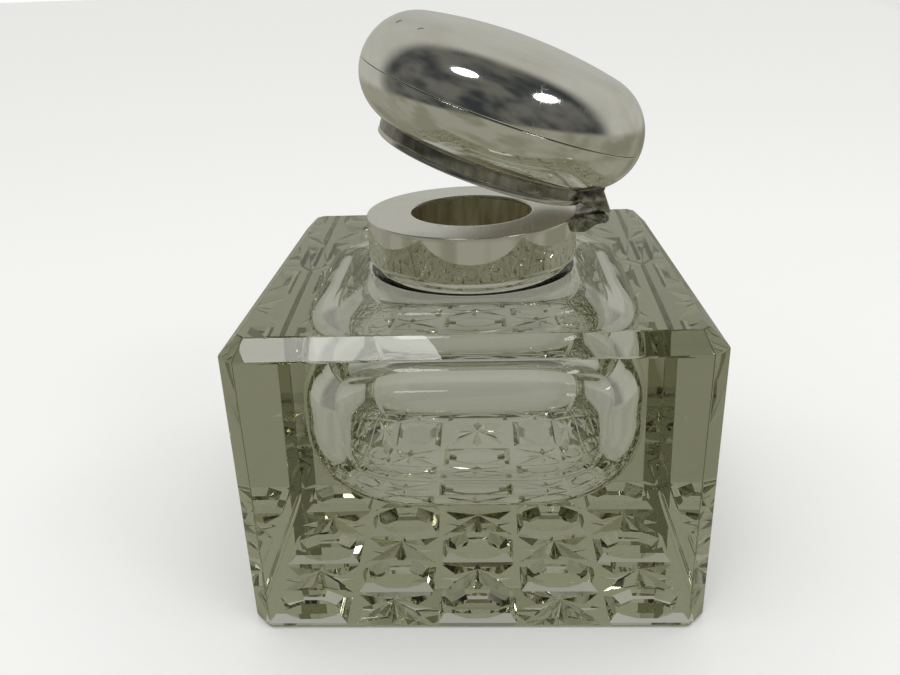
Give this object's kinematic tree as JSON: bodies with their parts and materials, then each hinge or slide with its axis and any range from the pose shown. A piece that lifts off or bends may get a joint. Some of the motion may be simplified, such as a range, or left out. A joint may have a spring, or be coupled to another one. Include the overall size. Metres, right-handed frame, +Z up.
{
  "type": "inkwell",
  "caption": "Square cut-glass inkwell with a blown reservoir, a round silver collar and a hollow bun-shaped silver lid on a side hinge.",
  "frame": {"origin": "centre of the glass block's underside, where it rests", "axes": "+Z up, -Y towards the front, +X towards the hinge"},
  "size_m": [0.09, 0.09, 0.1135],
  "materials": {
    "crystal": "clear lead crystal, cut and polished",
    "plaster": "dry plaster, aged",
    "collar_silver": "polished silver, slightly dented",
    "lid_silver": "polished silver, fine scratches and a little tarnish",
    "hinge_silver": "silver, tarnished in the corners",
    "stained_silver": "silver stained by ink"
  },
  "bodies": {
    "base": {"glass_body": "crystal", "neck_bedding": "plaster", "collar_band": "collar_silver", "collar_top_plate": "collar_silver", "throat_sleeve": "stained_silver", "collar_hinge_bracket": "hinge_silver", "collar_knuckle_front": "hinge_silver", "collar_knuckle_rear": "hinge_silver", "hinge_pin": "hinge_silver"},
    "lid": {"lid_knuckle": "hinge_silver", "lid_hinge_lug": "hinge_silver", "lid_rim": "lid_silver", "lid_base_plate": "stained_silver", "lid_bowl": "lid_silver", "lid_dome": "lid_silver"}
  },
  "joints": [
    {"name": "lid_hinge", "type": "hinge", "parent": "base", "child": "lid", "pos_m": [0.02735, 0, 0.07245], "axis": [0, 1, 0], "range_deg": [-20.5, 84.5]}
  ]
}
